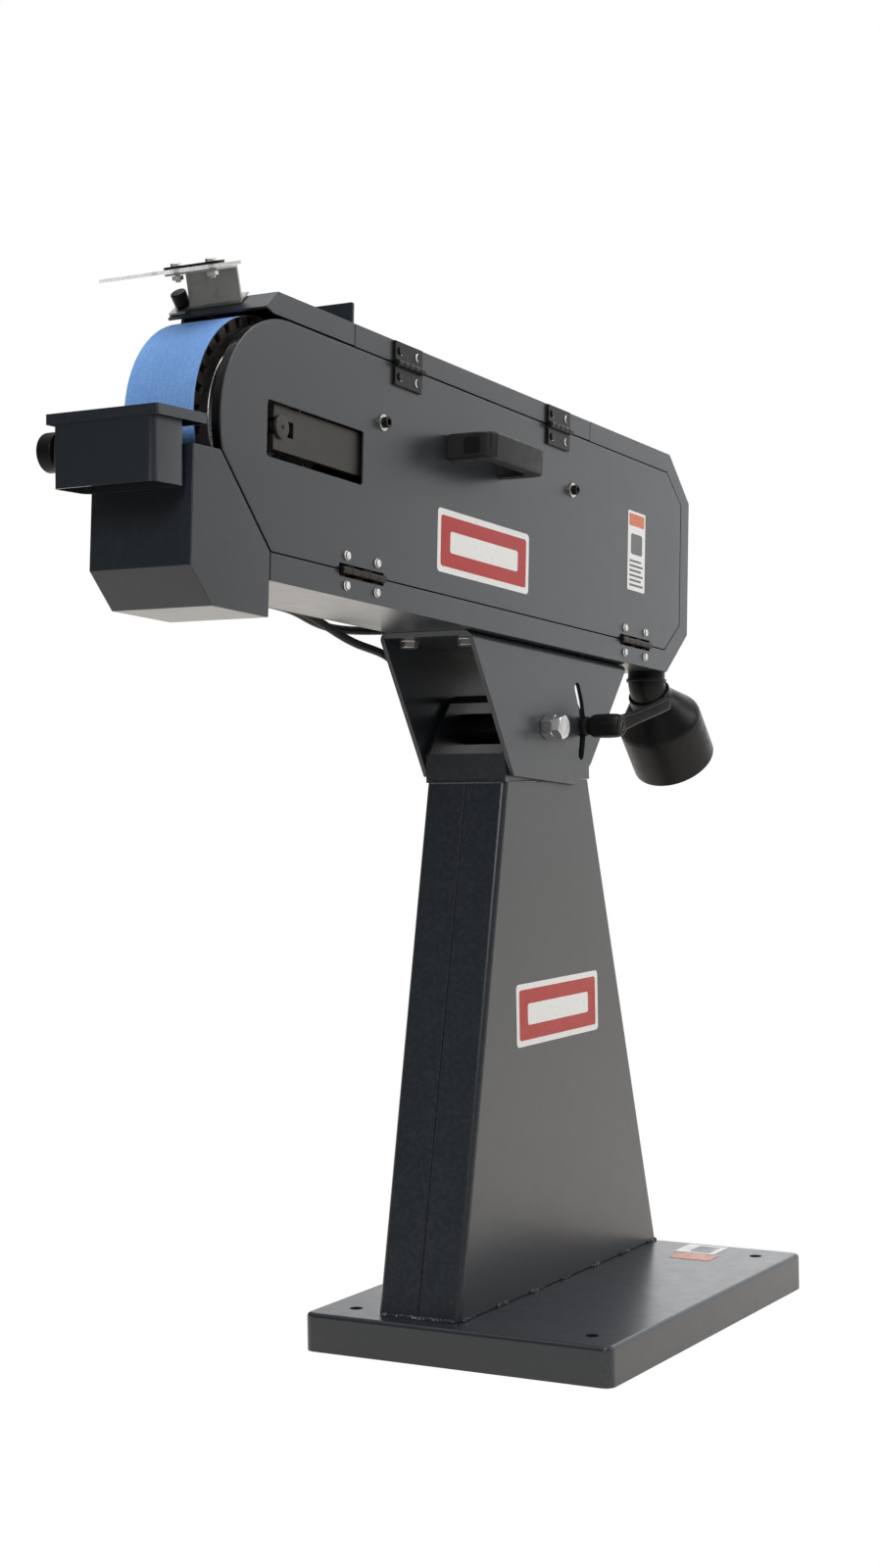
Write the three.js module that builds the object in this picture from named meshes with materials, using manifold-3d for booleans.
// Pedestal belt grinder: a 75 x 2000 mm abrasive belt on a tilting head, carried by a tapered column.
// Millimetres, +Z up. Origin: on the floor, at the middle of the base's front flange. The coordinates below
// are measured from the centre of the base, and the whole machine is shifted at the end.
// The nose of the head, with the contact wheel and the work rest, points along -X.
// The door and lid are on the -Y side; the motor and the switch are on the +Y side.

import * as THREE from "three";
import { mergeVertices } from "three/addons/utils/BufferGeometryUtils.js";
import Module from "manifold-3d";

const wasm = await Module();
wasm.setup();

// ---------------------------------------------------------------- driving dimensions

const GAP = 0.3; // running and resting gap between neighbouring pieces

// Base: a folded plate tray, open below, with a return flange round its underside
const BASE_LENGTH = 500;
const BASE_WIDTH = 355;
const BASE_HEIGHT = 40;
const BASE_WALL = 5;
const BASE_FLANGE = 30;
const BASE_CORNER = 10;
const ANCHOR_INSET = 40;
const ANCHOR_RADIUS = 7;

// Column: two folded half shells that meet along the middle of the front and the rear
const COLUMN_Y = 54;
const COLUMN_HALF_WIDTH = 48.5;
const COLUMN_WALL = 4;
const COLUMN_TOP_Z = 588;
const COLUMN_BOTTOM_X = [-225, 251];
const COLUMN_TOP_X = [-105, 93];

// Tilting joint
const PIVOT_X = -25;
const PIVOT_Z = 646;
const TILT_DEG = 4.3; // nose up
const YOKE_TOP_Z = 682;
const YOKE_LIP_Z = 619;
const PIVOT_BOLT_RADIUS = 8;
const PIVOT_HEX_AF = 24;
const STUD_RADIUS = 6;
const STUD_ARM = 90; // pivot to clamp stud
const STUD_ANGLE_DEG = 5.1; // stud direction, seen in the head's own frame
const SLOT_END_DEG = [-15, 33.5];
const SLOT_HALF_WIDTH = 6.5;

// Head, in its own frame: origin on the pivot axis, X along the head, Z square to it
const SHEET = 2.5;
const HEAD_NEAR = -11;
const HEAD_FAR = 97;
const PANEL_THICKNESS = 4;
const HEAD_BOTTOM = 88;
const HEAD_TOP = 348;
const HEAD_REAR = 347;
const HEAD_FRONT = -550; // front end of the frame, where the hopper starts
const CHAMFER = [57, 50];
const LID_FRONT = -417.5;
const LID_REAR = 76;

// Cradle: an inverted U that carries the head
const CRADLE_HALF_WIDTH = 55.5;
const CRADLE_WALL = 5;
const CRADLE_OUTLINE = [
  [-169.5, 87.7],
  [-69, -56.5],
  [81, -58],
  [112, -32],
  [202, 87.7],
];
const CRADLE_BOLT_X = [-145, 165];
const CRADLE_BOLT_Y = [16, 86];

// Belt and wheels
const WHEEL_RADIUS = 100;
const WHEEL_X = -533;
const DRIVE_X = 154;
const WHEEL_Z = 229;
const BELT_WIDTH = 75;
const BELT_NEAR = 16;
const BELT_FAR = BELT_NEAR + BELT_WIDTH;
const BELT_THICKNESS = 1.2;
const BELT_CLEARANCE = 0.15;
const TYRE_INNER = 80.3;
const TYRE_NOTCHES = 32;
const TYRE_NOTCH_WIDTH = 8;
const TYRE_NOTCH_DEPTH = 9;
const AXLE_RADIUS = 10;
const SUPPORT_Y = [-6, 0]; // bar in front of the contact wheel
const SLIDE_Y = [HEAD_FAR + 0.5, HEAD_FAR + 14]; // tension slide behind the back panel
const MOTOR_Y = [HEAD_FAR + GAP, 285];
const BEARING_RADIUS = 23.5;
const BEARING_WIDTH = 14;
const MOTOR_SHAFT_RADIUS = 14;

// Door
const DOOR_BOTTOM = 114.5;
const DOOR_TOP = 325;
const DOOR_REAR = 323;
const DOOR_ARC = { x: -529, z: 222, r: 103, endDeg: 197 };
const DOOR_CORNER = [41, 33];
const DOOR_RIM = 10;
const SEAM = 1.2;
const WINDOW = { x0: -560, x1: -399, z0: 198, z1: 249 };
const DOOR_HINGE_Y = -12.5;
const DOOR_HINGE_Z = 113.75;
const DOOR_HINGE_X = [-397, 201.5];
const DOOR_HINGE = {
  length: 77,
  barrel: 3.5,
  leafY: [4.3, 6.3],
  reach: [6.6, 22],
  screwHead: { radius: 4.5, y: [-0.8, 1.2], end: 5 },
  screwX: 27,
  screwZ: 14,
};
const HINGE_NOTCH = 6;
const SCREW_HOLE = 2.5;
const DOOR_SCREW_X = [-365, 35];
const DOOR_SCREW_Z = 264;

// Lid
const LID_HINGE_Y = -15.3;
const LID_HINGE_Z = 325.75;
const LID_HINGE_X = [-323, -3];
const LID_HINGE = {
  length: 52,
  barrel: 2.7,
  leafY: [1.8, 4],
  reach: [2.6, 21.5],
  screwHead: { radius: 4, y: [-0.2, 2.2], end: 6.8 },
  screwX: 17,
  screwZ: 12.5,
};

// Dust outlet: 45 degree elbow and reducer
const DUST = { x: 287, y: 14, tube: 22, bend: 24, top: 82, collar: 25, mouth: 50 };
const DUST_BEND_DEG = 45;
const DUST_CONE = 44;
const DUST_LENGTH = 106;

// Hopper, guard and work rest
const HOPPER_OUTLINE = [
  [-670, 190],
  [-630, 191.5],
  [HEAD_FRONT - 1, 113.3],
  [HEAD_FRONT - 1, 55],
  [-637, 55],
  [-670, 86],
];
const GUARD_BEND = [-548, 348];
const GUARD_LIP = [-566, 331];
const GUARD_REAR = -419;
const GUARD_STOP_HEIGHT = 20;

// Work rest: X and Z are from its knob's axis, in a frame turned so the rest is nearly level
const REST_KNOB = { x: -699, z: 186, r: 17.5 };
const REST_TURN = THREE.MathUtils.degToRad(-3.3);
const REST_TOP = 29;
const REST_BOTTOM = -35;
const REST_LIP_X = [-24, 47];
const REST_LIP_Y = [-13, 105.5];
const REST_LIP_HEIGHT = 9;
const REST_BOX_X = [-23, 23.5];
const REST_BOX_Y = [-7, 99.5];
const REST_TRAVEL = 10;
const REST_SHEET = 2;

// ---------------------------------------------------------------- materials

function finish(color, roughness, metalness, extra = {}) {
  return { color, roughness, metalness, ...extra };
}

const SLATE = finish(0x41464b, 0.45, 0.25);
const BLACK_PLASTIC = finish(0x141414, 0.45, 0);
const BLACK_METAL = finish(0x1b1b1c, 0.4, 0.5);
const ZINC = finish(0xc9c9c4, 0.3, 0.9);
const STEEL = finish(0x9a9894, 0.35, 0.9);
const ALUMINIUM = finish(0xb4b5b6, 0.4, 0.8);
const RUBBER = finish(0x2a2826, 0.85, 0);
const ABRASIVE = finish(0x5b8bd6, 0.95, 0);
const MOTOR_PAINT = finish(0x4a4f55, 0.5, 0.2);
const ACRYLIC = finish(0xdfe4e6, 0.08, 0, { transparent: true, opacity: 0.35 });
const GREEN = finish(0x2f8f46, 0.4, 0);
const RED = finish(0xb3231e, 0.4, 0);

// ---------------------------------------------------------------- geometry helpers

function solid(geometry) {
  const bare = geometry.index ? geometry.toNonIndexed() : geometry.clone();
  bare.deleteAttribute("normal");
  bare.deleteAttribute("uv");
  const merged = mergeVertices(bare, 1e-4);
  return new wasm.Manifold(
    new wasm.Mesh({
      numProp: 3,
      vertProperties: merged.attributes.position.array,
      triVerts: new Uint32Array(merged.index.array),
    }),
  );
}

function geometryOf(manifold) {
  const mesh = manifold.getMesh();
  const indexed = new THREE.BufferGeometry();
  indexed.setAttribute("position", new THREE.BufferAttribute(mesh.vertProperties, 3));
  indexed.setIndex(new THREE.BufferAttribute(mesh.triVerts, 1));
  const flat = indexed.toNonIndexed();
  flat.computeVertexNormals();
  return flat;
}

function union(...geometries) {
  return geometryOf(geometries.map(solid).reduce((sum, next) => sum.add(next)));
}

function cut(body, ...tools) {
  return geometryOf(tools.map(solid).reduce((rest, tool) => rest.subtract(tool), solid(body)));
}

function shapeOf(outline, holes = []) {
  const shape = new THREE.Shape(outline.map(([u, v]) => new THREE.Vector2(u, v)));
  for (const hole of holes) {
    shape.holes.push(new THREE.Path(hole.map(([u, v]) => new THREE.Vector2(u, v))));
  }
  return shape;
}

function extruded(outline, depth, holes) {
  return new THREE.ExtrudeGeometry(shapeOf(outline, holes), { depth, bevelEnabled: false });
}

// Outline in X and Z, thickness along Y
function prismY(outline, y0, y1, holes) {
  return extruded(outline, y1 - y0, holes).rotateX(Math.PI / 2).translate(0, y1, 0);
}

// Outline in Y and Z, length along X
function prismX(outline, x0, x1) {
  const turn = new THREE.Matrix4().makeBasis(
    new THREE.Vector3(0, 1, 0),
    new THREE.Vector3(0, 0, 1),
    new THREE.Vector3(1, 0, 0),
  );
  return extruded(outline, x1 - x0).applyMatrix4(turn).translate(x0, 0, 0);
}

// Outline in X and Y, height along Z
function prismZ(outline, z0, z1) {
  return extruded(outline, z1 - z0).translate(0, 0, z0);
}

function box(x0, x1, y0, y1, z0, z1) {
  return new THREE.BoxGeometry(x1 - x0, y1 - y0, z1 - z0).translate(
    (x0 + x1) / 2,
    (y0 + y1) / 2,
    (z0 + z1) / 2,
  );
}

function rodY(radius, y0, y1, x = 0, z = 0, segments = 24) {
  return new THREE.CylinderGeometry(radius, radius, y1 - y0, segments).translate(x, (y0 + y1) / 2, z);
}

function rodX(radius, x0, x1, y, z, segments = 20) {
  return new THREE.CylinderGeometry(radius, radius, x1 - x0, segments)
    .rotateZ(Math.PI / 2)
    .translate((x0 + x1) / 2, y, z);
}

function rodZ(radius, z0, z1, x, y, segments = 16) {
  return new THREE.CylinderGeometry(radius, radius, z1 - z0, segments)
    .rotateX(Math.PI / 2)
    .translate(x, y, (z0 + z1) / 2);
}

// Hexagonal prism along Y with a flat size across its flats, corners up and down
function hexY(acrossFlats, y0, y1) {
  return rodY(acrossFlats / Math.sqrt(3), y0, y1, 0, 0, 6);
}

// Closed [radius, y] loop turned about the Y axis, listed with the material on its left
function turned(profile, segments = 48) {
  const loop = [...profile, profile[0]].map(([r, y]) => new THREE.Vector2(r, y));
  return new THREE.LatheGeometry(loop, segments);
}

function ringY(inner, outer, y0, y1, segments = 48) {
  return turned(
    [
      [inner, y0],
      [outer, y0],
      [outer, y1],
      [inner, y1],
    ],
    segments,
  );
}

function arc(cx, cz, radius, startDeg, endDeg, steps) {
  return Array.from({ length: steps + 1 }, (_, i) => {
    const angle = THREE.MathUtils.degToRad(startDeg + ((endDeg - startDeg) * i) / steps);
    return [cx + radius * Math.cos(angle), cz + radius * Math.sin(angle)];
  });
}

function rectangle(u0, u1, v0, v1) {
  return [
    [u0, v0],
    [u1, v0],
    [u1, v1],
    [u0, v1],
  ];
}

function roundedRectangle(u0, u1, v0, v1, radius, steps = 3) {
  return [
    ...arc(u1 - radius, v0 + radius, radius, -90, 0, steps),
    ...arc(u1 - radius, v1 - radius, radius, 0, 90, steps),
    ...arc(u0 + radius, v1 - radius, radius, 90, 180, steps),
    ...arc(u0 + radius, v0 + radius, radius, 180, 270, steps),
  ];
}

// A round bar swept along a smooth curve
function swept(points, radius, steps, sides = 7) {
  const section = shapeOf(arc(0, 0, radius, 0, 360, sides).slice(0, sides));
  const path = new THREE.CatmullRomCurve3(points.map((p) => new THREE.Vector3(...p)));
  return new THREE.ExtrudeGeometry(section, { steps, extrudePath: path, bevelEnabled: false });
}

// ---------------------------------------------------------------- scene tree

const machine = new THREE.Group();
const stand = new THREE.Group();
const head = new THREE.Group();
const door = new THREE.Group();
const lid = new THREE.Group();
head.position.set(PIVOT_X, 0, PIVOT_Z);
head.rotation.y = THREE.MathUtils.degToRad(TILT_DEG);
machine.add(stand, head);
head.add(door);
door.add(lid);

function group(parent, x, y, z) {
  const child = new THREE.Group();
  child.position.set(x, y, z);
  parent.add(child);
  return child;
}

function add(parent, name, geometry, look) {
  const mesh = new THREE.Mesh(geometry, new THREE.MeshStandardMaterial(look));
  mesh.name = name;
  parent.add(mesh);
}

// ---------------------------------------------------------------- stand

function basePlate() {
  const halfX = BASE_LENGTH / 2;
  const halfY = BASE_WIDTH / 2;
  const inset = (d, r) => roundedRectangle(d - halfX, halfX - d, d - halfY, halfY - d, r);
  const top = BASE_HEIGHT - BASE_WALL;
  const holes = [];
  for (const x of [ANCHOR_INSET - halfX, halfX - ANCHOR_INSET]) {
    for (const y of [ANCHOR_INSET - halfY, halfY - ANCHOR_INSET]) {
      holes.push(rodZ(ANCHOR_RADIUS, top - 1, BASE_HEIGHT + 1, x, y));
    }
  }
  return cut(
    prismZ(inset(0, BASE_CORNER), 0, BASE_HEIGHT),
    prismZ(inset(BASE_WALL, BASE_CORNER / 2), BASE_WALL, top),
    prismZ(inset(BASE_FLANGE, BASE_CORNER / 2), -1, BASE_WALL + 1),
    ...holes,
  );
}

// Half of the column: a tapered side with half of the front and the rear folded on to it
function columnShell(side) {
  const z0 = BASE_HEIGHT + GAP;
  const outer = [
    [COLUMN_BOTTOM_X[0], z0],
    [COLUMN_BOTTOM_X[1], z0],
    [COLUMN_TOP_X[1], COLUMN_TOP_Z],
    [COLUMN_TOP_X[0], COLUMN_TOP_Z],
  ];
  const overrun = 10; // the inner cut runs past both ends, along the same slopes
  const height = COLUMN_TOP_Z - z0;
  const lean = [0, 1].map((i) => ((COLUMN_TOP_X[i] - COLUMN_BOTTOM_X[i]) / height) * overrun);
  const inner = [
    [COLUMN_BOTTOM_X[0] - lean[0] + COLUMN_WALL, z0 - overrun],
    [COLUMN_BOTTOM_X[1] - lean[1] - COLUMN_WALL, z0 - overrun],
    [COLUMN_TOP_X[1] + lean[1] - COLUMN_WALL, COLUMN_TOP_Z + overrun],
    [COLUMN_TOP_X[0] + lean[0] + COLUMN_WALL, COLUMN_TOP_Z + overrun],
  ];
  const seam = COLUMN_Y + side * GAP;
  const face = COLUMN_Y + side * COLUMN_HALF_WIDTH;
  const wall = face - side * COLUMN_WALL;
  const [o0, o1] = [seam, face].sort((a, b) => a - b);
  const [i0, i1] = [seam - side * overrun, wall].sort((a, b) => a - b);
  return cut(prismY(outer, o0, o1), prismY(inner, i0, i1));
}

const STUD_X = PIVOT_X + STUD_ARM * Math.cos(THREE.MathUtils.degToRad(STUD_ANGLE_DEG - TILT_DEG));
const STUD_Z = PIVOT_Z + STUD_ARM * Math.sin(THREE.MathUtils.degToRad(STUD_ANGLE_DEG - TILT_DEG));

// Top plate of the column, folded up at the front, with an inverted U welded on it
function pivotYoke() {
  const [x0, x1] = COLUMN_TOP_X;
  const y0 = COLUMN_Y - COLUMN_HALF_WIDTH;
  const y1 = COLUMN_Y + COLUMN_HALF_WIDTH;
  const floor = COLUMN_TOP_Z + GAP;
  const topX = [-50, 60];
  const wall = COLUMN_WALL;
  const flange = 8;
  const outer = prismY(
    [
      [x0, floor],
      [x1, floor],
      [x1, YOKE_TOP_Z - 37],
      [topX[1], YOKE_TOP_Z],
      [topX[0], YOKE_TOP_Z],
      [x0, YOKE_LIP_Z],
    ],
    y0,
    y1,
  );
  const inside = prismY(
    [
      [x0 + wall, floor + wall + 2],
      [x1 + 50, floor + wall + 2],
      [x1 + 50, YOKE_TOP_Z - wall],
      [topX[0] + wall, YOKE_TOP_Z - wall],
      [topX[0] + wall, YOKE_TOP_Z - flange],
      [x0 - 20, YOKE_TOP_Z - flange],
      [x0 - 20, YOKE_LIP_Z],
      [x0 + wall, YOKE_LIP_Z],
    ],
    y0 + wall,
    y1 - wall,
  );
  return cut(
    outer,
    inside,
    rodY(PIVOT_BOLT_RADIUS + GAP, y0 - 1, y1 + 1, PIVOT_X, PIVOT_Z),
    rodY(STUD_RADIUS + GAP, y0 - 1, y0 + wall + 1, STUD_X, STUD_Z),
  );
}

// Clamp lever: threaded stud, hub, and an arm that leans outwards
function clampLever() {
  const plateFace = COLUMN_Y - CRADLE_HALF_WIDTH;
  const stud = rodY(STUD_RADIUS, plateFace - 6, COLUMN_Y - COLUMN_HALF_WIDTH + 12, 0, 0, 24);
  const washer = rodY(10, plateFace - 4, plateFace - GAP, 0, 0, 24);
  const hub = turned(
    [
      [0, -50],
      [11, -50],
      [12.5, -46],
      [13, -30],
      [12, -12],
      [10, plateFace - 3.5],
      [0, plateFace - 3.5],
    ],
    24,
  );
  const armLength = 84;
  const arm = new THREE.ExtrudeGeometry(shapeOf(roundedRectangle(-5, 5, -7, 7, 3, 2)), {
    depth: armLength,
    bevelEnabled: false,
  });
  const direction = new THREE.Vector3(87, -28, 26.5).normalize();
  const basis = new THREE.Matrix4().lookAt(direction, new THREE.Vector3(), new THREE.Vector3(0, 0, 1));
  arm.translate(0, 0, 8).applyMatrix4(basis).translate(0, -41, 0);
  return union(stud, washer, hub, arm);
}

add(stand, "base_plate", basePlate(), SLATE);
add(stand, "column_near_shell", columnShell(-1), SLATE);
add(stand, "column_far_shell", columnShell(1), SLATE);
add(stand, "pivot_yoke", pivotYoke(), SLATE);

const pivot = group(stand, PIVOT_X, COLUMN_Y, PIVOT_Z);
const tubeHalf = COLUMN_HALF_WIDTH - COLUMN_WALL - GAP;
const nutFace = CRADLE_HALF_WIDTH + GAP;
const nutThickness = 13;
const boltHead = nutFace + nutThickness + GAP;
add(pivot, "pivot_tube", ringY(PIVOT_BOLT_RADIUS + GAP, 17, -tubeHalf, tubeHalf, 32), BLACK_METAL);
add(
  pivot,
  "pivot_bolt",
  union(hexY(PIVOT_HEX_AF, -boltHead - 10, -boltHead), rodY(PIVOT_BOLT_RADIUS, -boltHead - 5, nutFace + 18)),
  ZINC,
);
for (const [name, side] of [
  ["pivot_lock_nut", -1],
  ["pivot_end_nut", 1],
]) {
  const faces = [side * nutFace, side * (nutFace + nutThickness)].sort((a, b) => a - b);
  const bore = rodY(PIVOT_BOLT_RADIUS + GAP, faces[0] - 1, faces[1] + 1);
  add(pivot, name, cut(hexY(PIVOT_HEX_AF, ...faces), bore), ZINC);
}
add(group(stand, STUD_X, 0, STUD_Z), "clamp_lever", clampLever(), BLACK_PLASTIC);

// ---------------------------------------------------------------- cradle and head shell

function tiltSlot(halfWidth) {
  const [from, to] = SLOT_END_DEG;
  const end = (angle) => arc(0, 0, STUD_ARM, angle, angle, 1)[0];
  const steps = 12;
  const tip = 4;
  return [
    ...arc(0, 0, STUD_ARM + halfWidth, from, to, steps),
    ...arc(...end(to), halfWidth, to, to + 180, tip).slice(1, -1),
    ...arc(0, 0, STUD_ARM - halfWidth, to, from, steps),
    ...arc(...end(from), halfWidth, from + 180, from + 360, tip).slice(1, -1),
  ];
}

function cradle() {
  const y0 = COLUMN_Y - CRADLE_HALF_WIDTH;
  const y1 = COLUMN_Y + CRADLE_HALF_WIDTH;
  const top = CRADLE_OUTLINE[0][1];
  const bolts = CRADLE_BOLT_X.flatMap((x) =>
    CRADLE_BOLT_Y.map((y) => rodZ(5 + GAP, top - CRADLE_WALL - 1, top + 1, x, y)),
  );
  return cut(
    prismY(CRADLE_OUTLINE, y0, y1),
    box(-300, 300, y0 + CRADLE_WALL, y1 - CRADLE_WALL, -100, top - CRADLE_WALL),
    rodY(PIVOT_BOLT_RADIUS + GAP, y0 - 1, y1 + 1),
    prismY(tiltSlot(SLOT_HALF_WIDTH), y0 - 1, y0 + CRADLE_WALL + 1),
    ...bolts,
  );
}

// Hexagon bolt with its washer, pointing up through the cradle into the head
function cradleBolt() {
  const seat = -CRADLE_WALL - GAP;
  const hex = rodZ(17 / Math.sqrt(3), seat - 8.5, seat - 2, 0, 0, 6);
  return union(rodZ(10, seat - 2.2, seat, 0, 0), hex, rodZ(5, seat - 3, 2, 0, 0));
}

function doorOutline(grow = 0) {
  const { x, z, r, endDeg } = DOOR_ARC;
  const [cornerX, cornerZ] = DOOR_CORNER;
  const arcEnd = arc(x, z, r + grow, endDeg, endDeg, 1)[0];
  const footX = HEAD_FRONT + 1;
  return [
    [footX - grow * 0.4, DOOR_BOTTOM - grow],
    [DOOR_REAR - cornerX + grow * 0.4, DOOR_BOTTOM - grow],
    [DOOR_REAR + grow, DOOR_BOTTOM + cornerZ - grow * 0.4],
    [DOOR_REAR + grow, DOOR_TOP - cornerZ + grow * 0.4],
    [DOOR_REAR - cornerX + grow * 0.4, DOOR_TOP + grow],
    ...arc(x, z, r + grow, 90, endDeg, 18).slice(0, -1),
    arcEnd,
  ];
}

function headOutline(topFrontX, inset = 0, far = 0) {
  const [cx, cz] = CHAMFER;
  const trim = inset * 0.4;
  return [
    [HEAD_FRONT - far, HEAD_BOTTOM + inset],
    [HEAD_REAR - cx - trim, HEAD_BOTTOM + inset],
    [HEAD_REAR - inset, HEAD_BOTTOM + cz + trim],
    [HEAD_REAR - inset, HEAD_TOP - cz - trim],
    [HEAD_REAR - cx - trim, HEAD_TOP - inset],
    [topFrontX - far, HEAD_TOP - inset],
  ];
}

// Bent strip round the bottom, rear and rear top of the head, with a flange round the door
function headFrame() {
  const wallEnd = HEAD_FAR - PANEL_THICKNESS - GAP;
  const beyond = 50;
  const boltHoles = CRADLE_BOLT_X.flatMap((x) =>
    CRADLE_BOLT_Y.map((y) => rodZ(5 + GAP, HEAD_BOTTOM - 1, HEAD_BOTTOM + 4, x, y)),
  );
  return cut(
    prismY(headOutline(HEAD_FRONT), HEAD_NEAR, wallEnd),
    prismY(headOutline(HEAD_FRONT, SHEET, beyond), HEAD_NEAR + SHEET, wallEnd + 10),
    prismY(doorOutline(SEAM), HEAD_NEAR - 1, HEAD_NEAR + SHEET + 1),
    box(HEAD_FRONT - beyond, LID_REAR + SEAM, HEAD_NEAR - 10, HEAD_FAR, DOOR_TOP - 60, HEAD_TOP + 10),
    rodZ(DUST.tube - SHEET - 1, HEAD_BOTTOM - 5, HEAD_BOTTOM + 40, DUST.x, DUST.y, 28),
    ...doorHingeCuts(-1),
    ...boltHoles,
  );
}

// Barrel notches and screw holes of the door's hinges, below (-1) or above (1) their axis
function doorHingeCuts(up) {
  const half = DOOR_HINGE.length / 2 + 1;
  const z = DOOR_HINGE_Z;
  const inner = HEAD_NEAR + DOOR_RIM + 4;
  return DOOR_HINGE_X.flatMap((x) => [
    box(x - half, x + half, HEAD_NEAR - 6, inner, z - HINGE_NOTCH, z + HINGE_NOTCH),
    ...screwHoles(x, z + up * DOOR_HINGE.screwZ, DOOR_HINGE.screwX),
  ]);
}

function screwHoles(x, z, spread) {
  const y = [HEAD_NEAR - 1, HEAD_NEAR + SHEET + 1];
  return [-spread, spread].map((dx) => rodY(SCREW_HOLE, ...y, x + dx, z, 10));
}

// Flat far wall of the head, with the slide rails, the spring cup and the door posts on it
function backPanel() {
  const y0 = HEAD_FAR - PANEL_THICKNESS;
  const wheelArc = arc(WHEEL_X, WHEEL_Z, 88, 100, 205, 12);
  const lidSeat = HEAD_TOP - SHEET - GAP;
  const outline = [
    [HEAD_FRONT, HEAD_BOTTOM],
    ...headOutline(LID_REAR + SEAM).slice(1),
    [LID_REAR + SEAM, lidSeat],
    [WHEEL_X - 11, lidSeat],
    ...wheelArc,
    [HEAD_FRONT, 112],
  ];
  const railX = [WHEEL_X - 42, WHEEL_X + 58];
  const rails = [-1, 1].map((side) => {
    const z = WHEEL_Z + side * 36;
    return box(...railX, HEAD_FAR - 1, HEAD_FAR + 9, z - 4, z + 4);
  });
  const posts = DOOR_SCREW_X.map((x) => rodY(8, -4, y0 + 1, x, DOOR_SCREW_Z, 20));
  const cupX = [WHEEL_X + 62, WHEEL_X + 100];
  const axleSlot = [
    ...arc(WHEEL_X, WHEEL_Z, AXLE_RADIUS + 1, 90, 270, 10),
    ...arc(WHEEL_X + 14, WHEEL_Z, AXLE_RADIUS + 1, -90, 90, 10),
  ];
  return cut(
    union(prismY(outline, y0, HEAD_FAR), ...rails, ...posts, rodX(12, ...cupX, HEAD_FAR + 10, WHEEL_Z)),
    prismY(axleSlot, y0 - 1, HEAD_FAR + 1),
    rodY(30, y0 - 1, HEAD_FAR + 1, DRIVE_X, WHEEL_Z),
    rodX(9.5, cupX[0] - 1, cupX[1] - 4, HEAD_FAR + 10, WHEEL_Z),
    ...DOOR_SCREW_X.map((x) => rodY(4, -5, 6, x, DOOR_SCREW_Z, 20)),
  );
}

// Open-topped box in front of the frame that catches sparks and dust
function hopper() {
  const [front, , , rear] = HOPPER_OUTLINE.map((p) => p[0]);
  const inside = [
    [front + SHEET, 300],
    [rear + 60, 300],
    [rear + 60, HEAD_BOTTOM],
    [rear - SHEET, HEAD_BOTTOM],
    [rear - SHEET, 55 + SHEET],
    [-637 + SHEET * 0.4, 55 + SHEET],
    [front + SHEET, 86 + SHEET * 0.4],
  ];
  return cut(
    prismY(HOPPER_OUTLINE, HEAD_NEAR, HEAD_FAR),
    prismY(inside, HEAD_NEAR + SHEET, HEAD_FAR - SHEET),
  );
}

add(head, "cradle", cradle(), SLATE);
for (const [i, x] of CRADLE_BOLT_X.entries()) {
  for (const [j, y] of CRADLE_BOLT_Y.entries()) {
    const seat = group(head, x, y, CRADLE_OUTLINE[0][1]);
    add(seat, `cradle_bolt_${2 * i + j + 1}`, cradleBolt(), ZINC);
  }
}
add(head, "head_frame", headFrame(), SLATE);
add(head, "back_panel", backPanel(), SLATE);
add(head, "spark_hopper", hopper(), SLATE);

// ---------------------------------------------------------------- dust outlet

// 45 degree elbow whose top is saddle-cut to the folded rear corner of the frame
function dustElbow() {
  const { x, tube, bend, top } = DUST;
  const down = arc(x + bend, top, bend, 180, 180 + DUST_BEND_DEG, 5);
  const step = Math.SQRT1_2;
  const [endX, endZ] = down[down.length - 1];
  const centres = [[x, HEAD_BOTTOM + 30], [x, HEAD_BOTTOM + 8], ...down, [endX + 8 * step, endZ - 8 * step]];
  const curve = new THREE.CurvePath();
  for (let i = 1; i < centres.length; i += 1) {
    const [a, b] = [centres[i - 1], centres[i]].map(([u, w]) => new THREE.Vector3(u, DUST.y, w));
    curve.add(new THREE.LineCurve3(a, b));
  }
  const sides = 20;
  const circle = (radius) => arc(0, 0, radius, 0, 360, sides).slice(0, sides);
  const wall = shapeOf(circle(tube), [circle(tube - SHEET)]);
  const tubeBody = new THREE.ExtrudeGeometry(wall, { steps: 12, extrudePath: curve, bevelEnabled: false });
  const corner = headOutline(HEAD_FRONT, -GAP);
  return cut(tubeBody, prismY(corner, HEAD_NEAR - 50, HEAD_FAR + 50));
}

// Reducer from the elbow up to the hose mouth, turned about its own axis
function dustReducer() {
  const { collar, mouth } = DUST;
  const wall = SHEET;
  const shell = turned(
    [
      [collar - wall, 3],
      [collar - wall, 0],
      [collar, 0],
      [collar, 9],
      [mouth, DUST_CONE],
      [mouth, DUST_LENGTH],
      [mouth - wall, DUST_LENGTH],
      [mouth - wall, DUST_CONE + 1],
      [collar - wall, 10],
    ],
    40,
  );
  return shell.rotateX(-Math.PI / 2).rotateY(-THREE.MathUtils.degToRad(DUST_BEND_DEG));
}

const bendEnd = arc(DUST.x + DUST.bend, DUST.top, DUST.bend, 180 + DUST_BEND_DEG, 180 + DUST_BEND_DEG, 1)[0];
add(head, "dust_elbow", dustElbow(), BLACK_PLASTIC);
add(group(head, bendEnd[0], DUST.y, bendEnd[1]), "dust_reducer", dustReducer(), BLACK_PLASTIC);

// ---------------------------------------------------------------- belt, wheels and drive

function stadium(radius) {
  return [
    ...arc(DRIVE_X, WHEEL_Z, radius, -90, 90, 36),
    ...arc(WHEEL_X, WHEEL_Z, radius, 90, 270, 36),
  ];
}

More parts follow.
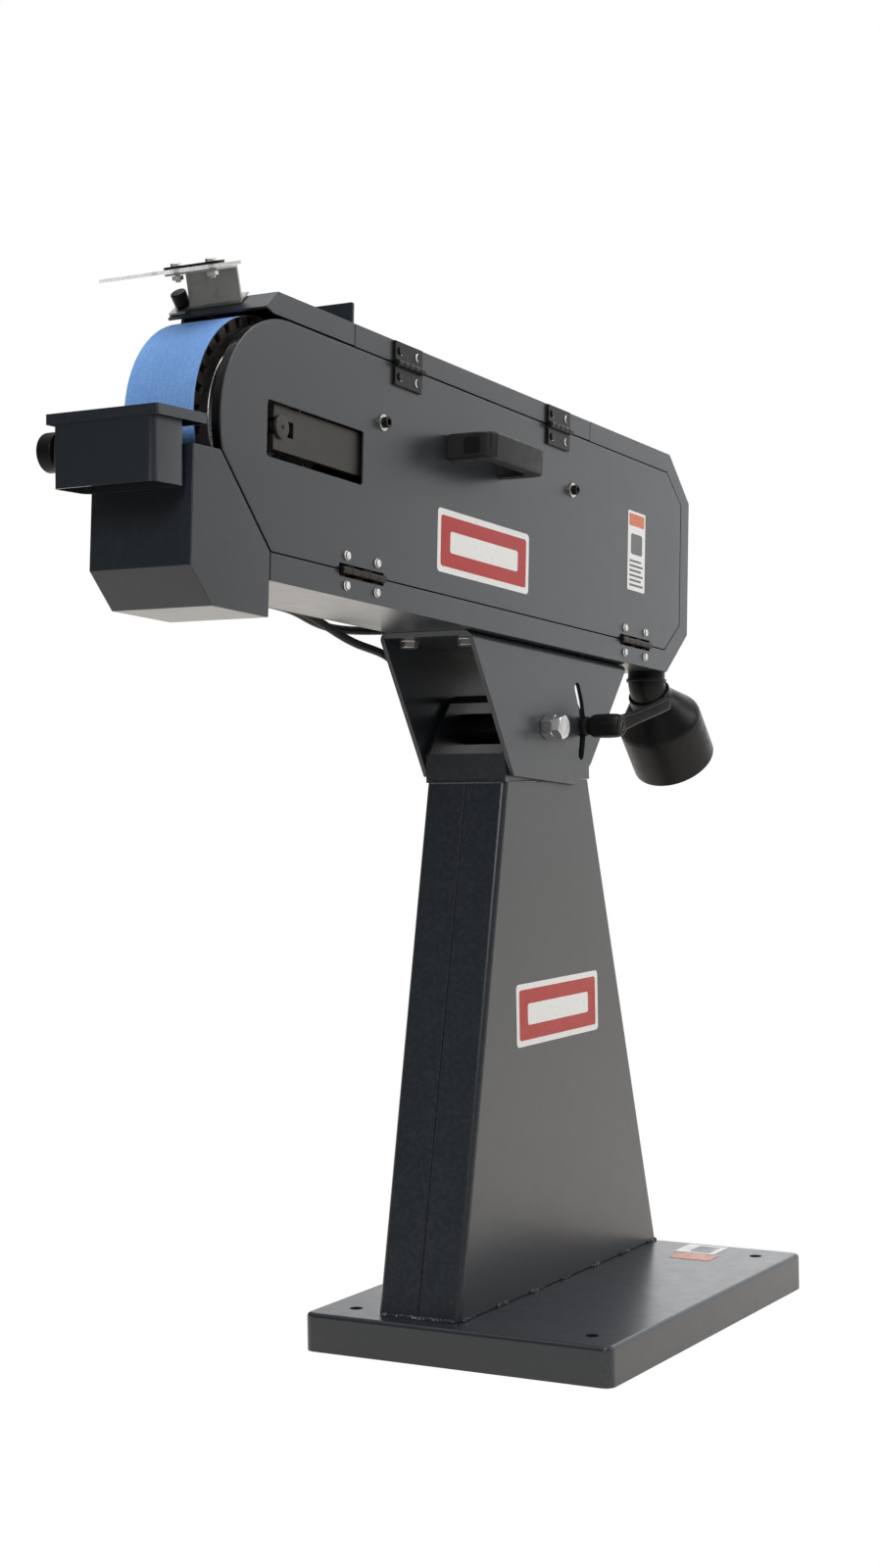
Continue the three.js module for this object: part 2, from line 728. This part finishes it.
function abrasiveBelt() {
  const inner = WHEEL_RADIUS + BELT_CLEARANCE;
  return prismY(stadium(inner + BELT_THICKNESS), BELT_NEAR, BELT_FAR, [stadium(inner)]);
}

// Rubber ring with notches across its whole face
function contactTyre() {
  const pitch = 360 / TYRE_NOTCHES;
  const half = THREE.MathUtils.radToDeg(TYRE_NOTCH_WIDTH / 2 / WHEEL_RADIUS);
  const outline = [];
  for (let i = 0; i < TYRE_NOTCHES; i += 1) {
    const centre = i * pitch;
    outline.push(...arc(0, 0, WHEEL_RADIUS - TYRE_NOTCH_DEPTH, centre - half, centre + half, 1));
    outline.push(...arc(0, 0, WHEEL_RADIUS, centre + half, centre + pitch - half, 2));
  }
  return prismY(outline, BELT_NEAR, BELT_FAR, [arc(0, 0, TYRE_INNER, 0, 360, 64).slice(0, 64)]);
}

function contactHub() {
  const rim = TYRE_INNER - GAP;
  const pocket = BEARING_WIDTH + 2;
  const bore = BEARING_RADIUS - 5;
  return turned(
    [
      [BEARING_RADIUS + 0.2, BELT_NEAR],
      [31, BELT_NEAR],
      [31, 47],
      [rim - 8, 47],
      [rim - 8, BELT_NEAR],
      [rim, BELT_NEAR],
      [rim, BELT_FAR],
      [rim - 8, BELT_FAR],
      [rim - 8, 60],
      [31, 60],
      [31, BELT_FAR],
      [BEARING_RADIUS + 0.2, BELT_FAR],
      [BEARING_RADIUS + 0.2, BELT_FAR - pocket],
      [bore, BELT_FAR - pocket],
      [bore, BELT_NEAR + pocket],
      [BEARING_RADIUS + 0.2, BELT_NEAR + pocket],
    ],
    36,
  );
}

// Fixed axle: a flatted neck and an end disc at the near support, plain beyond it
function contactAxle() {
  const bar = SUPPORT_Y[0];
  return union(
    rodY(AXLE_RADIUS, SUPPORT_Y[1] + 2, HEAD_FAR + 22),
    rodY(6.8, bar - 1, SUPPORT_Y[1] + 3),
    rodY(11, bar - 2.4, bar - GAP),
    rodY(12, SLIDE_Y[1] + GAP, SLIDE_Y[1] + 6, 0, 0, 6),
  );
}

// Bar in front of the wheel, forked for the axle, on a block that reaches to the back panel
function supportArm() {
  const x0 = WHEEL_X - 10;
  const z0 = 207.5;
  const z1 = 248.5;
  const fork = 14.5;
  return cut(
    union(
      box(x0, -386, ...SUPPORT_Y, z0, z1),
      box(-412, -386, -1, HEAD_FAR - PANEL_THICKNESS - GAP, z0, z1),
    ),
    box(x0 - 5, WHEEL_X + 22, SUPPORT_Y[0] - 1, SUPPORT_Y[1] + 1, WHEEL_Z - fork / 2, WHEEL_Z + fork / 2),
  );
}

function tensionSlide() {
  const block = box(-31, 39, ...SLIDE_Y, -31.5, 31.5);
  return cut(
    block,
    rodY(AXLE_RADIUS + GAP, SLIDE_Y[0] - 1, SLIDE_Y[1] + 1),
    rodY(4.3, SLIDE_Y[0] - 1, SLIDE_Y[1] + 1, 26, 0, 20),
  );
}

function tensionSpring() {
  const turns = 6;
  const [x0, x1] = [39 + GAP + 1.3, 94];
  const steps = 9;
  const points = Array.from({ length: turns * steps + 1 }, (_, i) => {
    const angle = (2 * Math.PI * i) / steps;
    const along = x0 + ((x1 - x0) * i) / (turns * steps);
    return [along, 6.5 * Math.cos(angle), 6.5 * Math.sin(angle)];
  });
  return swept(points, 1.3, turns * steps, 5);
}

function trackingKnob() {
  return union(
    rodY(4, SLIDE_Y[0], SLIDE_Y[1] + 4, 0, 0, 20),
    rodY(11, SLIDE_Y[1] + 1, SLIDE_Y[1] + 17, 0, 0, 20),
  );
}

function driveWheel() {
  const edge = WHEEL_RADIUS - 0.4; // crowned rim
  return turned(
    [
      [MOTOR_SHAFT_RADIUS + GAP, 22],
      [32, 22],
      [32, 62],
      [90, 62],
      [90, BELT_NEAR],
      [edge, BELT_NEAR],
      [WHEEL_RADIUS, BELT_NEAR + 20],
      [WHEEL_RADIUS, BELT_FAR - 20],
      [edge, BELT_FAR],
      [90, BELT_FAR],
      [90, 72],
      [32, 72],
      [32, BELT_FAR - 2],
      [MOTOR_SHAFT_RADIUS + GAP, BELT_FAR - 2],
    ],
    40,
  );
}

// Shaft with its end cap screw in front of the drive wheel
function motorShaft() {
  return union(rodY(MOTOR_SHAFT_RADIUS, 20, 150), rodY(20, 14, 21.5), rodY(8, 9, 15, 0, 0, 6));
}

// Flanged motor with lengthwise cooling fins and a terminal housing cast on top
function motorBody() {
  const fins = 26;
  const [root, tip] = [70, 78];
  const pitch = 360 / fins;
  const finOutline = [];
  for (let i = 0; i < fins; i += 1) {
    const start = i * pitch;
    finOutline.push(...arc(0, 0, root, start, start + pitch * 0.55, 1));
    finOutline.push(...arc(0, 0, tip, start + pitch * 0.65, start + pitch * 0.9, 1));
  }
  return cut(
    union(
      rodY(80, MOTOR_Y[0], 109, 0, 0, 40),
      rodY(76, 108, 122, 0, 0, 40),
      prismY(finOutline, 121, 272),
      rodY(76, 271, MOTOR_Y[1], 0, 0, 40),
      box(-42, 42, 150, 236, 55, 104),
      box(-45, 45, 147, 239, 103, 112),
    ),
    rodY(MOTOR_SHAFT_RADIUS + 1, MOTOR_Y[0] - 1, 153),
  );
}

function fanCowl() {
  return turned(
    [
      [0, MOTOR_Y[1] + GAP],
      [80, MOTOR_Y[1] + GAP],
      [80, 320],
      [74, 330],
      [0, 330],
    ],
    40,
  );
}

const wheel = group(head, WHEEL_X, 0, WHEEL_Z);
const drive = group(head, DRIVE_X, 0, WHEEL_Z);
add(head, "abrasive_belt", abrasiveBelt(), ABRASIVE);
add(head, "wheel_support_arm", supportArm(), STEEL);
add(wheel, "contact_tyre", contactTyre(), RUBBER);
add(wheel, "contact_wheel_hub", contactHub(), ALUMINIUM);
for (const [name, start] of [
  ["wheel_bearing_near", BELT_NEAR + 1],
  ["wheel_bearing_far", BELT_FAR - 1 - BEARING_WIDTH],
]) {
  add(wheel, name, ringY(AXLE_RADIUS + 0.1, BEARING_RADIUS, start, start + BEARING_WIDTH, 32), STEEL);
}
add(wheel, "contact_axle", contactAxle(), STEEL);
add(wheel, "tension_slide", tensionSlide(), STEEL);
add(group(wheel, 0, HEAD_FAR + 10, 0), "tension_spring", tensionSpring(), ZINC);
add(group(wheel, 26, 0, 0), "tracking_knob", trackingKnob(), BLACK_PLASTIC);
add(drive, "drive_wheel", driveWheel(), ALUMINIUM);
add(drive, "motor_shaft", motorShaft(), STEEL);
add(drive, "motor_body", motorBody(), MOTOR_PAINT);
add(drive, "motor_fan_cowl", fanCowl(), BLACK_METAL);

// Flat backing plate under the top run of the belt, folded down to the back panel
function platen() {
  const far = HEAD_FAR - PANEL_THICKNESS - GAP;
  const top = WHEEL_Z + WHEEL_RADIUS - 1.5;
  return prismX(
    [
      [BELT_NEAR + 2, top - 6],
      [far - 4, top - 6],
      [far - 4, top - 46],
      [far, top - 46],
      [far, top],
      [BELT_NEAR + 2, top],
    ],
    -330,
    -60,
  );
}
add(head, "top_platen", platen(), STEEL);

// ---------------------------------------------------------------- switch and cables

const SWITCH = { x0: -395, x1: -315, z0: 112, z1: 198, far: 148 };
const BUTTON_Y = SWITCH.far + GAP;
const BUTTON_Z = { start: 176, stop: 137 };

function switchBox() {
  const { x0, x1, z0, z1, far } = SWITCH;
  const middle = (x0 + x1) / 2;
  const wells = Object.values(BUTTON_Z).map((z) => rodY(7.5, far - 8, far + 1, middle, z, 24));
  return cut(prismY(roundedRectangle(x0, x1, z0, z1, 6), HEAD_FAR + GAP, far), ...wells);
}

const BUTTON_TRAVEL = 4;
function pushButton(capRadius, capDepth) {
  const stem = rodY(7, -1.5, BUTTON_TRAVEL + 1, 0, 0, 24);
  return union(stem, rodY(capRadius, BUTTON_TRAVEL, BUTTON_TRAVEL + capDepth, 0, 0, 28));
}

add(head, "switch_box", switchBox(), BLACK_PLASTIC);
for (const [name, z, radius, depth, look] of [
  ["start_button", BUTTON_Z.start, 9, 5, GREEN],
  ["stop_button", BUTTON_Z.stop, 16, 9, RED],
]) {
  const centre = (SWITCH.x0 + SWITCH.x1) / 2;
  add(group(head, centre, BUTTON_Y, z), name, pushButton(radius, depth), look);
}

// Cables leave the switch box downwards and pass behind the cradle
const cableTop = SWITCH.z0 - GAP;
add(
  head,
  "motor_cable",
  swept(
    [
      [-365, 130, cableTop - 1.5],
      [-364.5, 130, 104.5],
      [-350, 130, 99],
      [-320, 130, 99],
      [-291, 130, 96.6],
      [-266, 130, 90.6],
      [-234, 130, 87.2],
      [-187, 130, 89.4],
      [-129, 129, 96.3],
      [-60, 128, 104],
      [60, 134, 122],
      [130, 144, 131],
      [152, 148, 142],
    ],
    4.5,
    40,
  ),
  BLACK_PLASTIC,
);
add(
  head,
  "supply_cable",
  swept(
    [
      [-335, 120, cableTop - 2],
      [-334, 120, 105],
      [-322, 119.5, 99],
      [-300, 119, 96],
      [-269, 118.5, 90],
      [-231, 118.5, 80],
      [-192, 118.5, 73],
      [-145, 118, 71],
      [-118, 117, 61],
      [-102, 116, 42],
      [-92, 114.5, 22],
    ],
    4.5,
    30,
  ),
  BLACK_PLASTIC,
);

// ---------------------------------------------------------------- front guard and eye shield

// Slope of the guard's lip. In the slope's frame X points up it and Z points out of it.
const SLOPE = Math.atan2(GUARD_BEND[1] - GUARD_LIP[1], GUARD_BEND[0] - GUARD_LIP[0]);
const GUARD_KNOB = { x: -9, y: 86.5, radius: 7.5, shank: 3 };
const SHIELD_TRAVEL = 4;
const SHIELD_Y = [12, 96];
const SHIELD_TILT = THREE.MathUtils.degToRad(18);
const SHIELD_THICKNESS = 3;
const BRACKET_Y = [22, 78];
const CLAMP = { x: -26, y: [32, 70] };
const FLANGE_TOP = [-17.5, 24]; // top rear edge of the bracket's flange, from the bend
const FLANGE_DEPTH = 34;
const BRACKET_FOOT = [-8, -5.2]; // rear edge of the bracket's upright, in the foot

// Cover over the top of the wheel: sloped lip in front, turned up at the rear as a stop
function frontGuard() {
  const [bendX, top] = GUARD_BEND;
  const [lipX, lipZ] = GUARD_LIP;
  const drop = 21;
  const cover = prismY(
    [
      [GUARD_REAR, top - SHEET],
      [GUARD_REAR, top],
      [bendX, top],
      [lipX, lipZ],
      [lipX + 1.7, lipZ - 1.8],
      [bendX + 1, top - SHEET],
    ],
    HEAD_NEAR,
    HEAD_FAR,
  );
  const nearFlange = prismY(
    [
      [GUARD_REAR, top - drop],
      [GUARD_REAR, top],
      [bendX, top],
      [lipX, lipZ],
      [-554, top - drop],
    ],
    HEAD_NEAR,
    HEAD_NEAR + SHEET,
  );
  const stop = prismX(
    roundedRectangle(HEAD_NEAR + 1, HEAD_FAR - 1, top - 2, top + GUARD_STOP_HEIGHT, 1.8),
    GUARD_REAR - SHEET,
    GUARD_REAR,
  );
  const knobHole = rodZ(GUARD_KNOB.shank + GAP, -9, 9, GUARD_KNOB.x, GUARD_KNOB.y, 20)
    .rotateY(-SLOPE)
    .translate(bendX, 0, top);
  return cut(union(cover, nearFlange, stop), knobHole);
}

// Bent bracket: slotted foot on the slope, upright, and a flange under the shield
function shieldBracket() {
  const sheet = 2;
  const { x, y, shank } = GUARD_KNOB;
  const slotHalf = shank + GAP;
  const slotEnd = SHIELD_TRAVEL + slotHalf + 0.5;
  const flat = cut(
    union(
      box(-14, 3, BRACKET_Y[0], 97, 0.5, 0.5 + sheet),
      box(-21, 3, BRACKET_Y[1] + 1, 97, 0.5, 0.5 + sheet),
    ),
    prismZ(roundedRectangle(x - slotEnd, x + slotEnd, y - slotHalf, y + slotHalf, slotHalf - 0.05), -1, 4),
  ).rotateY(-SLOPE);
  const along = [-Math.cos(SHIELD_TILT), -Math.sin(SHIELD_TILT)];
  const down = [-along[1], along[0]];
  const corner = (forward, below) => FLANGE_TOP.map((v, i) => v + forward * along[i] + below * down[i]);
  const [footX, footZ] = BRACKET_FOOT;
  const profile = prismY(
    [
      [footX - 2.1, footZ - 1.9],
      [footX, footZ],
      FLANGE_TOP,
      corner(FLANGE_DEPTH, 0),
      corner(FLANGE_DEPTH, sheet),
      corner(sheet, sheet),
    ],
    ...BRACKET_Y,
  );
  return cut(union(flat, profile), ...CLAMP.y.map((boltY) => onFlange(rodZ(3, -8, 3, CLAMP.x, boltY, 20))));
}

// Places a piece drawn on the shield's own plane
function onFlange(geometry) {
  return geometry.rotateY(-SHIELD_TILT).translate(FLANGE_TOP[0], 0, FLANGE_TOP[1]);
}

function eyeShield() {
  const sheet = prismZ(roundedRectangle(-112, -4, ...SHIELD_Y, 6), GAP, GAP + SHIELD_THICKNESS);
  return onFlange(cut(sheet, ...CLAMP.y.map((y) => rodZ(3, -1, 6, CLAMP.x, y, 20))));
}

// Strip over the shield with its two bolts and nuts
function shieldClamp() {
  const top = SHIELD_THICKNESS + 2 * GAP;
  const bolts = CLAMP.y.flatMap((y) => [
    rodZ(2.5, -7, top + 1, CLAMP.x, y, 20),
    rodZ(4.6, -6, -2.6, CLAMP.x, y, 6),
    rodZ(4.6, top + 2, top + 5.5, CLAMP.x, y, 6),
  ]);
  return onFlange(union(box(CLAMP.x - 5, CLAMP.x + 5, 20, 81, top, top + 3), ...bolts));
}

function guardKnob() {
  return union(
    rodZ(GUARD_KNOB.shank, -7, 4, 0, 0, 20),
    rodZ(6, 2.8, 5, 0, 0, 24),
    rodZ(GUARD_KNOB.radius, 4.5, 17, 0, 0, 28),
  );
}

add(head, "front_guard", frontGuard(), SLATE);
const bend = group(head, GUARD_BEND[0], 0, GUARD_BEND[1]);
add(bend, "shield_bracket", shieldBracket(), ALUMINIUM);
add(bend, "eye_shield", eyeShield(), ACRYLIC);
add(bend, "shield_clamp", shieldClamp(), BLACK_METAL);
const slope = group(bend, 0, 0, 0);
slope.rotation.y = -SLOPE;
add(group(slope, GUARD_KNOB.x, GUARD_KNOB.y, 0), "guard_knob", guardKnob(), BLACK_PLASTIC);

// ---------------------------------------------------------------- work rest

function workRest() {
  const t = REST_SHEET;
  const lipZ = REST_TOP - REST_LIP_HEIGHT;
  const inset = ([x0, x1], [y0, y1], d, r) => roundedRectangle(x0 + d, x1 - d, y0 + d, y1 - d, r);
  const lip = cut(
    prismZ(inset(REST_LIP_X, REST_LIP_Y, 0, 2), lipZ, REST_TOP),
    prismZ(inset(REST_LIP_X, REST_LIP_Y, t, 1), lipZ - 1, REST_TOP - t),
  );
  const tray = cut(
    prismZ(inset(REST_BOX_X, REST_BOX_Y, 0, 7), REST_BOTTOM, REST_TOP - 1),
    prismZ(inset(REST_BOX_X, REST_BOX_Y, t, 5), REST_BOTTOM - 1, REST_TOP - t),
  );
  const r = 3.4;
  const slotOutline = [...arc(REST_TRAVEL, 0, r, -90, 90, 6), ...arc(0, 0, r, 90, 270, 6)];
  return cut(union(lip, tray), prismY(slotOutline, REST_BOX_Y[1] - 5, REST_BOX_Y[1] + 3));
}

// Joggled bar from the hopper's far wall to the far side of the work rest
function restArm() {
  const { x, z } = REST_KNOB;
  const near = REST_BOX_Y[1] + 0.5;
  const wall = HEAD_FAR + 0.4;
  const t = 5;
  const bar = prismZ(
    [
      [x - 13, near],
      [-672.2, near],
      [-669.4, wall],
      [-626, wall],
      [-626, wall + t],
      [-668.2, wall + t],
      [-671, near + t],
      [x - 13, near + t],
    ],
    z - 17,
    z + 9,
  );
  const heads = [-655, -638].map((boltX) => rodY(6, wall + t - 0.5, wall + t + 4, boltX, z - 8, 6));
  return cut(union(bar, ...heads), rodY(3.4, near - 1, near + t + 1, x, z, 20));
}

function restKnob() {
  const wall = REST_BOX_Y[1];
  const start = wall + 7;
  return union(
    rodY(6, wall - REST_SHEET - 3, wall - REST_SHEET - GAP, 0, 0, 24),
    rodY(3, wall - REST_SHEET - 2, start + 1, 0, 0, 20),
    rodY(8, wall + 5.8, start + 1, 0, 0, 24),
    rodY(REST_KNOB.r, start, start + 15, 0, 0, 32),
  );
}

const rest = group(head, REST_KNOB.x, 0, REST_KNOB.z);
rest.rotation.y = REST_TURN;
add(rest, "work_rest", workRest(), SLATE);
add(head, "rest_arm", restArm(), STEEL);
add(group(head, REST_KNOB.x, 0, REST_KNOB.z), "rest_knob", restKnob(), BLACK_PLASTIC);

// ---------------------------------------------------------------- door and lid

// Pressed sheet with a rim turned inwards all round
function doorPanel() {
  const { x0, x1, z0, z1 } = WINDOW;
  const reach = HEAD_NEAR + DOOR_RIM;
  return cut(
    prismY(doorOutline(), HEAD_NEAR, reach),
    prismY(doorOutline(-SHEET), HEAD_NEAR + SHEET, reach + 1),
    prismY(roundedRectangle(x0, x1, z0, z1, 3, 2), HEAD_NEAR - 1, reach),
    ...DOOR_SCREW_X.map((x) => rodY(5, HEAD_NEAR - 1, reach, x, DOOR_SCREW_Z, 20)),
    ...doorHingeCuts(1),
    ...LID_HINGE_X.flatMap((x) => screwHoles(x, LID_HINGE_Z - LID_HINGE.screwZ, LID_HINGE.screwX)),
  );
}

function lidPanel() {
  return cut(
    box(LID_FRONT, LID_REAR, HEAD_NEAR, HEAD_FAR, DOOR_TOP + 1.5, HEAD_TOP),
    box(LID_FRONT - 1, LID_REAR + 1, HEAD_NEAR + SHEET, HEAD_FAR + 1, DOOR_TOP - 1, HEAD_TOP - SHEET),
    ...LID_HINGE_X.flatMap((x) => screwHoles(x, LID_HINGE_Z + LID_HINGE.screwZ, LID_HINGE.screwX)),
  );
}

// D handle, square to the door
function doorHandle() {
  const face = HEAD_NEAR - GAP;
  const bow = [
    [-241, face],
    [-241, -50],
    [-237, -58],
    [-229, -62],
    [-132, -62],
    [-124, -58],
    [-120, -50],
    [-120, face],
    [-138, face],
    [-138, -44],
    [-223, -44],
    [-223, face],
  ];
  return prismZ(bow, 249, 276);
}

// Captive screw and washer; its point just enters the post behind the door
function doorScrew() {
  const face = HEAD_NEAR - GAP;
  return union(
    rodY(8, face - 1.6, face, 0, 0, 28),
    rodY(5.5, face - 7, face - 1.5, 0, 0, 28),
    rodY(3, face - 1, -1.5, 0, 0, 20),
  );
}

// Half of a hinge along X, its origin on the axis. The lower half (-1) carries the pin.
function hingeLeaf(up, { length, barrel, leafY, reach, screwHead, screwX, screwZ }) {
  const pitch = length / 5;
  const pin = barrel * 0.45;
  const shoulder = Math.min(4.5, reach[0]);
  const web = [
    [0, 0],
    [leafY[1], up * 1.5],
    [leafY[1], up * (reach[0] + 1)],
    [leafY[0], up * (reach[0] + 1)],
    [leafY[0], up * shoulder],
    [0, up * barrel * 0.95],
  ];
  const pieces = [];
  for (const k of up > 0 ? [1, 3] : [0, 2, 4]) {
    const start = k * pitch - length / 2 + GAP;
    const end = start + pitch - 2 * GAP;
    pieces.push(rodX(barrel, start, end, 0, 0, 12), prismX(web, start, end));
  }
  const [z0, z1] = [up * reach[0], up * reach[1]].sort((a, b) => a - b);
  const leaf = box(-length / 2 + GAP, length / 2 - GAP, ...leafY, z0, z1);
  for (const dx of [-screwX, screwX]) {
    pieces.push(rodY(screwHead.radius, ...screwHead.y, dx, up * screwZ, 12));
    pieces.push(rodY(2, screwHead.y[1] - 0.5, screwHead.end, dx, up * screwZ, 8));
  }
  if (up > 0) return cut(union(leaf, ...pieces), rodX(pin + GAP, -length, length, 0, 0, 8));
  return union(leaf, ...pieces, rodX(pin, -length / 2 + 1, length / 2 - 1, 0, 0, 8));
}

add(door, "door_panel", doorPanel(), SLATE);
add(door, "door_handle", doorHandle(), BLACK_PLASTIC);
add(lid, "lid_panel", lidPanel(), SLATE);
for (const [i, end] of ["front", "rear"].entries()) {
  add(group(door, DOOR_SCREW_X[i], 0, DOOR_SCREW_Z), `door_screw_${end}`, doorScrew(), ZINC);
  const low = [DOOR_HINGE_X[i], DOOR_HINGE_Y, DOOR_HINGE_Z];
  const high = [LID_HINGE_X[i], LID_HINGE_Y, LID_HINGE_Z];
  add(group(head, ...low), `door_hinge_${end}_frame_leaf`, hingeLeaf(-1, DOOR_HINGE), ZINC);
  add(group(door, ...low), `door_hinge_${end}_door_leaf`, hingeLeaf(1, DOOR_HINGE), ZINC);
  add(group(door, ...high), `lid_hinge_${end}_door_leaf`, hingeLeaf(-1, LID_HINGE), BLACK_METAL);
  add(group(lid, ...high), `lid_hinge_${end}_lid_leaf`, hingeLeaf(1, LID_HINGE), BLACK_METAL);
}

// Puts the origin on the underside of the front flange
machine.position.x = (BASE_LENGTH - BASE_FLANGE) / 2;

export default machine;
